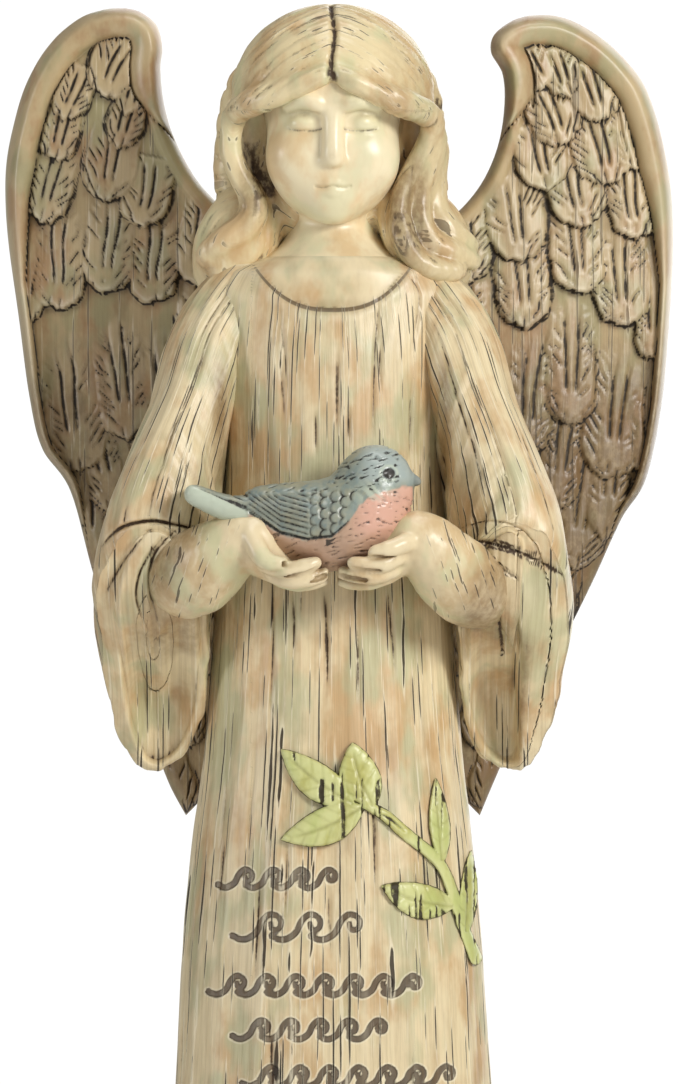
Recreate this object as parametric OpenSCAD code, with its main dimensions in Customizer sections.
// Resin angel figurine, holding a bird in both hands.
// Hollow cast robe with pinned wings, glued sleeves, arms, head, hair and bird, a base plug and a felt pad.
// +Z is up, the figure faces -Y, and the origin is the centre of the face that it stands on.
// Left and right are the figure's own, so its left side is at +X.

/* [Overall] */
// Height from the table to the crown of the hair
figure_h = 300; // [250:1:360]
// Span across both wings
wing_span = 143; // [119:1:172]
// Height of a wing, from its lowest feather to its rolled top
wing_h = 171; // [142:1:206]

/* [Robe] */
// Width of the hem
hem_w = 80; // [66:1:96]
// Depth of the hem, front to back
hem_d = 66; // [56:1:80]
// Width of the skirt just below the sleeves
hip_w = 54; // [45:1:65]
// Depth of the skirt just below the sleeves
hip_d = 45; // [38:1:54]
// Width of the chest
chest_w = 48; // [40:1:57]
// Depth of the chest
chest_d = 40; // [34:1:48]
// Width of the shoulders
shoulder_w = 55; // [46:1:66]
// Wall of the hollow casting
robe_wall = 6; // [4:0.5:9]

/* [Head] */
// Height of the head, chin to hair crown
head_h = 46; // [38:0.5:56]
// Width of the face
face_w = 31; // [26:1:36]
// Width of the hair at the temples
hair_w = 45; // [38:1:54]
// Radius of the neck
neck_r = 8.5; // [7:0.5:10]
// Radius of the spigot under the bust, which seats in the robe's collar
spigot_r = 12; // [9:0.1:14.5]
// Length of that spigot
spigot_h = 12; // [9:0.5:16]

/* [Sleeves and hands] */
// Length of a sleeve, shoulder to hem
sleeve_l = 102; // [85:1:122]
// Width of a sleeve at its fullest
sleeve_w = 27; // [22:1:32]
// Depth of a sleeve at its fullest
sleeve_d = 39; // [32:1:46]
// Thickness of the sleeve's hem
sleeve_wall = 3; // [2:0.5:4]
// Radius of the arm at the elbow
elbow_r = 7.5; // [6:0.5:9]
// Radius of the arm at the wrist
wrist_r = 5; // [4:0.5:6]
// Radius of a finger
finger_r = 1.9; // [1.5:0.1:2.3]

/* [Bird] */
// Radius of the bird's body
bird_r = 8; // [6.5:0.5:9.5]
// Length of the bird, beak to tail
bird_l = 48; // [40:1:57]

/* [Wings] */
// Thickness of the wing's slab
wing_t = 6; // [5:0.5:8]
// Thickness of one tier of feathers
feather_t = 1.3; // [1:0.1:2]
// Width of the rolled leading edge
rim_w = 6; // [4:0.5:8]
// Angle that each wing sweeps back
wing_sweep = 14; // [8:1:20]
// Width of the boss at the wing's root
root_w = 17; // [13:1:20]
// Height of the boss at the wing's root
root_h = 40; // [33:1:48]
// Diameter of the dowels that hold the wings
dowel_d = 3; // [2:0.5:4]
// Length of those dowels
dowel_l = 16; // [13:1:19]

/* [Leaf sprig] */
// How far the leaves stand out of the skirt
leaf_t = 1.2; // [0.8:0.1:2]
// Radius of the stem
stem_r = 1.3; // [0.8:0.1:2]

/* [Base] */
// Radius of the opening under the casting
opening_r = 15; // [12:0.5:18]
// Radius of the plug's flange
flange_r = 18; // [17:0.5:21]
// Thickness of that flange
flange_t = 1.5; // [1:0.1:2.5]
// Thickness of the felt under the base
felt_t = 1.5; // [1:0.1:2.5]
// How far the felt stops short of the hem
felt_inset = 1; // [0.5:0.5:3]

/* [Hidden] */

ivory = [0.80, 0.70, 0.52];
clearance = 0.1;      // between a seated piece and its socket
over = 1;             // how far a cutting shape runs past what it cuts
thin = 0.01;          // thickness of the slices that hulls join
facets = 48;          // sides of the robe
soft_facets = 28;     // sides of the sleeves, hair and other soft forms

// Drops: distances down from the crown, so that a taller figure gets a longer skirt.
collar_drop = head_h + 7;           // top of the robe
shoulder_drop = collar_drop + 8;
chest_drop = collar_drop + 40;
hands_drop = chest_drop + 24;       // centre of the cupped hands
hip_drop = shoulder_drop + sleeve_l - 6;
root_drop = collar_drop + 33;       // centre of the wing roots
root_seat_y = chest_d / 2 - 7;      // plane of the flat seat on the robe's back
wing_y = chest_d / 2 + 1;           // where the front of the swept slab crosses the centre plane
hand_y = -chest_d / 2 - 10;         // hands are held in front of the chest
chin_z = figure_h - head_h;
collar_z = figure_h - collar_drop;

function drop(d) = figure_h - d;
function mix(a, b, t) = a + (b - a) * t;

// ---------- Lofts ----------

// One ring of a loft: an ellipse of half-axes [rx, ry] about [cx, cy] at height z.
function ring(z, cx, cy, rx, ry, n) =
    [for (i = [0:n - 1]) [cx + rx * cos(360 * i / n), cy + ry * sin(360 * i / n), z]];

// Closed solid through rings given from the bottom up as [z, cx, cy, rx, ry].
module loft(rings, n) {
    last = len(rings) - 1;
    points = [for (r = rings) each ring(r[0], r[1], r[2], r[3], r[4], n)];
    sides = [for (k = [0:last - 1]) for (i = [0:n - 1])
        let (a = k * n + i, b = k * n + (i + 1) % n)
        each [[a, a + n, b + n], [a, b + n, b]]];
    bottom = [for (i = [0:n - 1]) i];
    top = [for (i = [n - 1:-1:0]) last * n + i];
    polyhedron(points, concat([bottom], sides, [top]));
}

// The same rings as a chain of hulls, for forms that other soft forms are cut out of.
module soft_loft(rings) {
    for (k = [0:len(rings) - 2])
        hull() for (r = [rings[k], rings[k + 1]])
            translate([r[1], r[2], r[0]]) linear_extrude(thin)
                polygon([for (i = [0:soft_facets - 1])
                    [r[3] * cos(360 * i / soft_facets), r[4] * sin(360 * i / soft_facets)]]);
}

// ---------- Robe ----------

// How the skirt widens from the hip (0) to the hem (1): [share of its length, share of its flare].
skirt_flare = [[0.97, 0.98], [0.75, 0.70], [0.5, 0.49], [0.3, 0.35], [0.15, 0.2]];
skirt_l = drop(hip_drop) - felt_t;

// Rings of the robe's outside from the hem up, each pulled in by the inset.
function robe_rings(inset = 0) = concat(
    [[felt_t, 0, 0, hem_w / 2 - inset, hem_d / 2 - inset]],
    [for (s = skirt_flare)
        [drop(hip_drop) - skirt_l * s[0], 0, 0,
         mix(hip_w, hem_w, s[1]) / 2 - inset, mix(hip_d, hem_d, s[1]) / 2 - inset]],
    [[drop(hip_drop), 0, 0, hip_w / 2 - inset, hip_d / 2 - inset],
     [drop(hands_drop + 8), 0, 0,
      mix(hip_w, chest_w, 0.7) / 2 - inset, mix(hip_d, chest_d, 0.7) / 2 - inset],
     [drop(chest_drop), 0, 0, chest_w / 2 - inset, chest_d / 2 - inset],
     [drop(chest_drop - 20), 0, 0, mix(chest_w, shoulder_w, 0.45) / 2 - inset, chest_d / 2 - 1.5 - inset],
     [drop(shoulder_drop), 0, 0, shoulder_w / 2 - inset, chest_d * 0.4 - inset],
     [drop(collar_drop + 3), 0, 0, shoulder_w * 0.41 - inset, spigot_r + 3.5 - inset],
     [collar_z, 0, 0, spigot_r + 2 - inset, spigot_r + 2 - inset]]);

// The cavity stands on the casting's floor and stops at the hip, above which the casting is solid.
cavity_floor = felt_t + robe_wall;
cavity_rings = let (inner = robe_rings(robe_wall)) concat(
    [[cavity_floor, 0, 0, inner[1][3], inner[1][4]]],
    [for (r = inner) if (r[0] > cavity_floor && r[0] <= drop(hip_drop)) r]);

module robe_outside() loft(robe_rings(), facets);

module robe() color(ivory) difference() {
    robe_outside();
    loft(cavity_rings, facets / 2);
    translate([0, 0, felt_t - over]) cylinder(r = opening_r, h = robe_wall + 2 * over, $fn = 64);
    translate([0, 0, felt_t - over])
        cylinder(r = flange_r + clearance, h = flange_t + clearance + over, $fn = 64);
    translate([0, 0, collar_z - spigot_h - clearance])
        cylinder(r = spigot_r + clearance, h = spigot_h + over + clearance, $fn = 64);
    wing_seat();
    dowels(dowel_d / 2 + clearance / 2, clearance);
}

// Flat across the back where both wing roots are glued.
module wing_seat()
    translate([-root_w - clearance, root_seat_y, drop(root_drop) - root_h / 2 - clearance])
        cube([2 * (root_w + clearance), chest_d, root_h + 2 * clearance]);

// ---------- Base ----------

module base_plug() color("dimgray") translate([0, 0, felt_t]) {
    cylinder(r = flange_r, h = flange_t, $fn = 64);
    cylinder(r = opening_r - clearance, h = robe_wall + 1, $fn = 64);
}

// Felt over the whole underside, plug and all.
module base_felt() color("darkslategray") linear_extrude(felt_t)
    polygon([for (a = [0:5:355]) [cos(a) * (hem_w / 2 - felt_inset), sin(a) * (hem_d / 2 - felt_inset)]]);

// ---------- Head and hair ----------

cranium_r = face_w / 2 + 1;
cranium_z = figure_h - cranium_r - 6;
neck_top = cranium_z - 8;
flare_h = 4;                        // height over which the neck spreads into the bust

// Skull, cheeks and chin, shared by the head and by the hair that is cut to it.
module skull() hull() {
    translate([0, -2.5, cranium_z]) sphere(r = cranium_r, $fn = 32);
    translate([0, -5, mix(chin_z, cranium_z, 0.45)]) sphere(r = face_w * 0.42, $fn = 32);
    translate([0, -11, chin_z + 5]) sphere(r = 5, $fn = 32);
}

module head() color(ivory) {
    skull();
    neck(neck_r);
    bust();
}

module neck(r) translate([0, 0, collar_z - over]) cylinder(r = r, h = neck_top - collar_z + over, $fn = 48);

// The neck flares into the bust, whose spigot seats in the collar.
module bust() rotate_extrude($fn = 64) polygon(concat(
    [[0, collar_z - spigot_h], [spigot_r, collar_z - spigot_h], [spigot_r, collar_z]],
    [for (a = [0:15:90]) [neck_r + (spigot_r - neck_r) * (1 - sin(a)), collar_z + flare_h * (1 - cos(a))]],
    [[0, collar_z + flare_h]]));

// The hair from its ends up, as [drop, share of hair_w / 2, half-depth, centre y].
hair_profile = [
    [collar_drop + 8, 1.18, 9, 11], [collar_drop + 2, 1.28, 13, 9], [collar_drop - 4, 1.24, 15, 6],
    [collar_drop - 9, 0.98, 16, 4], [collar_drop - 13, 0.9, 18, 3], [collar_drop - 18, 0.98, 20, 2],
    [collar_drop - 25, 1, 21.5, 1], [18, 0.91, 21, 0], [11, 0.76, 18, 0], [6, 0.6, 14, 0],
    [2, 0.36, 8, 0], [thin, 0.1, 3, 0]];

module hair() color(ivory) difference() {
    soft_loft([for (p = hair_profile) [drop(p[0]), 0, p[3], p[1] * hair_w / 2, p[2]]]);
    skull();
    face_window();
    robe_outside();
    neck(neck_r + clearance);
    translate([0, 0, collar_z - over])
        cylinder(r = spigot_r + clearance, h = flare_h + over + clearance, $fn = 64);
    for (side = [0, 1]) mirror([side, 0, 0]) wing_slab();
}

// Arched opening for the face, as [distance to the side, height, radius]; it runs down between the locks.
face_arch = [[face_w * 0.38, mix(chin_z, cranium_z, 0.6), face_w * 0.13],
    [face_w * 0.3, collar_z - 8, face_w * 0.13], [0, cranium_z + 8, 2]];
face_arch_y = -6;                   // how far back the opening is cut

module face_window() hull() for (p = face_arch, side = [-1, 1])
    translate([side * p[0], face_arch_y, p[1]]) rotate([90, 0, 0]) cylinder(r = p[2], h = hem_d, $fn = 24);

// ---------- Sleeves and arms ----------

// A sleeve from its hem up, as [share of its length, how far its inner side stands out from the
// chest's side, share of its width, how far its front stands out from the chest's front, share of its depth].
sleeve_profile = [
    [1, 10, 0.22, -8, 0.2], [0.965, 5, 0.54, -1, 0.59], [0.9, 3, 0.7, 4, 0.82], [0.78, 2, 0.83, 6, 0.95],
    [0.64, 0, 0.98, 7, 1], [0.52, -3, 1.04, 6, 0.97], [0.42, -5, 0.98, 3, 0.9], [0.28, -6, 0.83, -1, 0.78],
    [0.16, -8, 0.72, -4, 0.69], [0.07, -9, 0.63, -7, 0.56], [0, -10, 0.48, -11, 0.38]];

function sleeve_rings(side, inset = 0) = [for (p = sleeve_profile)
    [drop(shoulder_drop - 2 + p[0] * sleeve_l),
     side * (chest_w / 2 + p[1] + p[2] * sleeve_w / 2), p[4] * sleeve_d / 2 - chest_d / 2 - p[3],
     p[2] * sleeve_w / 2 - inset, p[4] * sleeve_d / 2 - inset]];

module sleeve(side) difference() {
    soft_loft(sleeve_rings(side));
    sleeve_lining(side);
    robe_outside();
    arm_solid(side);
}

// The hollow of the sleeve below the arm: it opens to the front and towards the skirt.
module sleeve_lining(side) translate([-side * sleeve_wall, -2 * sleeve_wall, 0])
    soft_loft([for (r = sleeve_rings(side, sleeve_wall))
        if (r[0] < drop(hands_drop) && r[3] > sleeve_wall) r]);

module right_sleeve() color(ivory) sleeve(-1);
module left_sleeve() color(ivory) sleeve(1);

elbow_x = chest_w / 2 + sleeve_w * 0.54;
wrist_x = 16;
palm_x = 8.5;
finger_pitch = 3.4;
fingers_gap = 0.4;                  // between the fingertips of the two hands

// Arm, palm, four fingers under the bird and a thumb beside it.
module arm_solid(side) {
    elbow = [side * elbow_x, hand_y + 15, drop(hands_drop + 8)];
    wrist = [side * wrist_x, hand_y + 2, drop(hands_drop - 3)];
    palm = [side * palm_x, hand_y + 1, drop(hands_drop + 2)];
    limb(elbow, wrist, elbow_r, wrist_r);
    limb(wrist, palm, wrist_r, wrist_r * 0.8);
    limb(palm + [side * 3, -4, 1], palm + [-side, -5, -1], 3, 2.6);
    for (k = [0:3]) {
        y = (k - 1.5) * finger_pitch - 1;
        limb(palm + [side * (2 - k), y, -2], palm + [side * (finger_r + fingers_gap / 2 - palm_x), y, -3.6],
             finger_r, finger_r);
    }
    limb(palm + [side * 6, -5, 2], palm + [side * 1.5, -9, 3], finger_r + 0.3, finger_r);
}

module limb(from, to, r_from, r_to) hull() {
    translate(from) sphere(r = r_from, $fn = 18);
    translate(to) sphere(r = r_to, $fn = 18);
}

module arm(side) difference() {
    arm_solid(side);
    bird_solid();
    robe_outside();
}

module right_arm() color(ivory) arm(-1);
module left_arm() color(ivory) arm(1);

// ---------- Bird ----------

// It rests in the cupped hands, with its beak to the figure's left.
module bird_solid() {
    chest = [0, hand_y - 1, drop(hands_drop + 0.5) + bird_r];
    nape = chest + [bird_l * 0.19, 0, bird_r + 0.5];
    rump = chest + [-bird_l * 0.25, 0, 2.5];
    beak = chest + [bird_l * 0.39, 0, bird_r - 0.5];
    tail = chest + [-bird_l * 0.58, 0, 5.5];
    limb(chest, nape, bird_r, bird_r * 0.83);
    limb(chest, rump, bird_r, bird_r * 0.62);
    limb(chest + [-2, 0, 1], rump, bird_r, bird_r * 0.62);
    limb(nape, beak, bird_r * 0.5, 0.6);
    for (w = [-1, 1]) {
        limb(rump + [0, w * 1.5, 0], tail + [0, w * 2, 0], bird_r * 0.35, bird_r * 0.2);
        limb(chest + [2, w * bird_r * 0.55, 2], rump + [-4, w * 1.5, 1], bird_r * 0.5, bird_r * 0.3);
    }
    limb(tail + [0, -2, 0], tail + [0, 2, 0], bird_r * 0.22, bird_r * 0.22);
}

module bird() color("lightslategray") bird_solid();

// ---------- Wings ----------

// Smooth outline of a wing as [distance out, drop below its top], on a wing of outline_w by outline_h.
outline_w = 71.5;
outline_h = 171;
wing_outline = [
    [0.5, 54], [9, 52], [19, 46], [27, 38], [33, 28], [35.5, 18], [35.5, 8], [40, 2.5], [46, 0.5],
    [54, 3.5], [61, 9], [67, 20], [70.5, 35], [71.5, 50], [70, 75], [66.5, 94], [61, 106],
    [56, 119], [48, 138], [40, 158], [31, 170.5], [23, 160], [15, 140], [8, 118], [0.5, 100]];

// From that outline to its place on the slab, which is longer than its span because it sweeps back.
function on_slab(p) =
    [p[0] * wing_span / 2 / outline_w / cos(wing_sweep), figure_h - p[1] * wing_h / outline_h];

function smooth_point(a, b, c, d, t) =
    0.5 * (2 * b + (c - a) * t + (2 * a - 5 * b + 4 * c - d) * t * t + (3 * b - a - 3 * c + d) * t * t * t);

function smooth_outline(p, steps) = let (last = len(p) - 1) concat(
    [for (k = [0:last - 1]) for (s = [0:steps - 1])
        smooth_point(p[max(k - 1, 0)], p[k], p[k + 1], p[min(k + 2, last)], s / steps)],
    [p[last]]);

// 2D outline with x outwards and y up.
module wing_shape() polygon([for (p = smooth_outline(wing_outline, 3)) on_slab(p)]);

// Feathers from the lowest row up, as [tier, length, [[distance out, drop of the tip, width], ...]].
feather_rows = [
    [1, 46, [[22, 112, 12], [31, 130, 12], [42, 144, 12], [51, 128, 11], [60, 110, 9]]],
    [2, 40, [[31, 86, 12], [43, 91, 12.5], [54, 98, 14], [65, 92, 10]]],
    [3, 24, [[37.5, 63, 12], [47.5, 60, 12.5], [58, 64, 14], [67, 58, 9]]],
    [4, 18, [[40.5, 46, 12], [47.5, 40, 13], [61.5, 45, 11]]],
    [5, 14, [[43, 29, 10], [49, 19, 12], [59, 32, 11], [57, 21, 10]]]];
// Where the rim begins on the inner side, and how far it drops on the outer side.
rim_corner = [34, 66];

// One feather with its round tip at the origin, pointing down.
module feather(l, w) {
    translate([-w / 2, w / 2]) square([w, l - w / 2]);
    translate([0, w / 2]) circle(d = w, $fn = 48);
}

// Rolled leading edge, over the top and down the outer side.
module rim() intersection() {
    translate(on_slab(rim_corner)) square(wing_h);
    difference() {
        wing_shape();
        translate([-rim_w, -rim_w]) wing_shape();
    }
}

// Places children, drawn with x outwards, y up and z towards the front, on the left wing's slab.
module on_wing() translate([0, wing_y, 0]) rotate([0, 0, wing_sweep]) rotate([90, 0, 0]) children();

module wing_slab() on_wing() translate([0, 0, -wing_t]) linear_extrude(wing_t) wing_shape();

// The left wing; the right one is its mirror image.
module wing() difference() {
    union() {
        wing_slab();
        on_wing() for (row = feather_rows) linear_extrude(row[0] * feather_t) intersection() {
            wing_shape();
            for (f = row[2]) translate(on_slab(f))
                feather(row[1] * wing_h / outline_h, f[2] * wing_span / 2 / outline_w);
        }
        on_wing() linear_extrude((len(feather_rows) + 1) * feather_t) rim();
        wing_root();
    }
    dowels(dowel_d / 2 + clearance / 2, clearance);
    translate([clearance / 2 - wing_span, 0, 0]) cube([wing_span, wing_span, figure_h]);
}

// The boss behind the seat: flat against the robe, and merged with the slab.
module wing_root() translate([0, root_seat_y + clearance / 2, drop(root_drop) - root_h / 2])
    cube([root_w, wing_y + root_w * tan(wing_sweep) + wing_t / 2 - root_seat_y, root_h]);

module right_wing() color(ivory) mirror([1, 0, 0]) wing();
module left_wing() color(ivory) wing();

// Two dowels a side, half in the robe and half in the wing's root.
dowel_x = root_w * 0.55;
dowel_pitch = root_h * 0.5;

module dowels(r, extra) for (sx = [-1, 1], sz = [-1, 1])
    translate([sx * dowel_x, root_seat_y - dowel_l / 2 - extra, drop(root_drop) + sz * dowel_pitch / 2])
        rotate([-90, 0, 0]) cylinder(r = r, h = dowel_l + 2 * extra, $fn = 32);

module wing_dowels() color("silver") dowels(dowel_d / 2, 0);

// ---------- Leaf sprig ----------

// Stem from its top to where it runs off the skirt's side, as [x, height above the hip].
stem = [[6.5, -10.5], [15.5, -17], [23, -24], [26, -32], [30, -43]];
// Leaves as [base, tip, half-width], with each end as [x, height above the hip].
leaves = [[[4.5, -10.5], [-11, 1], 3.9], [[8.5, -11], [4, 2.5], 4.5], [[6.5, -11], [-11, -18], 4],
    [[23, -23], [21.5, -5], 2.3], [[25.5, -32], [10, -27.5], 3.8], [[28, -38], [29, -20], 2]];

module leaf(base, tip, half) {
    middle = (base + tip) / 2;
    hull() {
        translate(base) circle(r = 0.5, $fn = 12);
        translate(middle) circle(r = half, $fn = 24);
    }
    hull() {
        translate(tip) circle(r = 0.4, $fn = 12);
        translate(middle) circle(r = half, $fn = 24);
    }
}

module leaf_sprig() color("yellowgreen") intersection() {
    difference() {
        loft(robe_rings(-leaf_t), facets);
        robe_outside();
    }
    translate([0, 0, drop(hip_drop)]) rotate([90, 0, 0]) linear_extrude(hem_d) {
        for (k = [0:len(stem) - 2]) hull() for (p = [stem[k], stem[k + 1]])
            translate(p) circle(r = stem_r, $fn = 16);
        for (l = leaves) leaf(l[0], l[1], l[2]);
    }
}

robe();
base_plug();
base_felt();
head();
hair();
right_sleeve();
left_sleeve();
right_arm();
left_arm();
bird();
right_wing();
left_wing();
wing_dowels();
leaf_sprig();
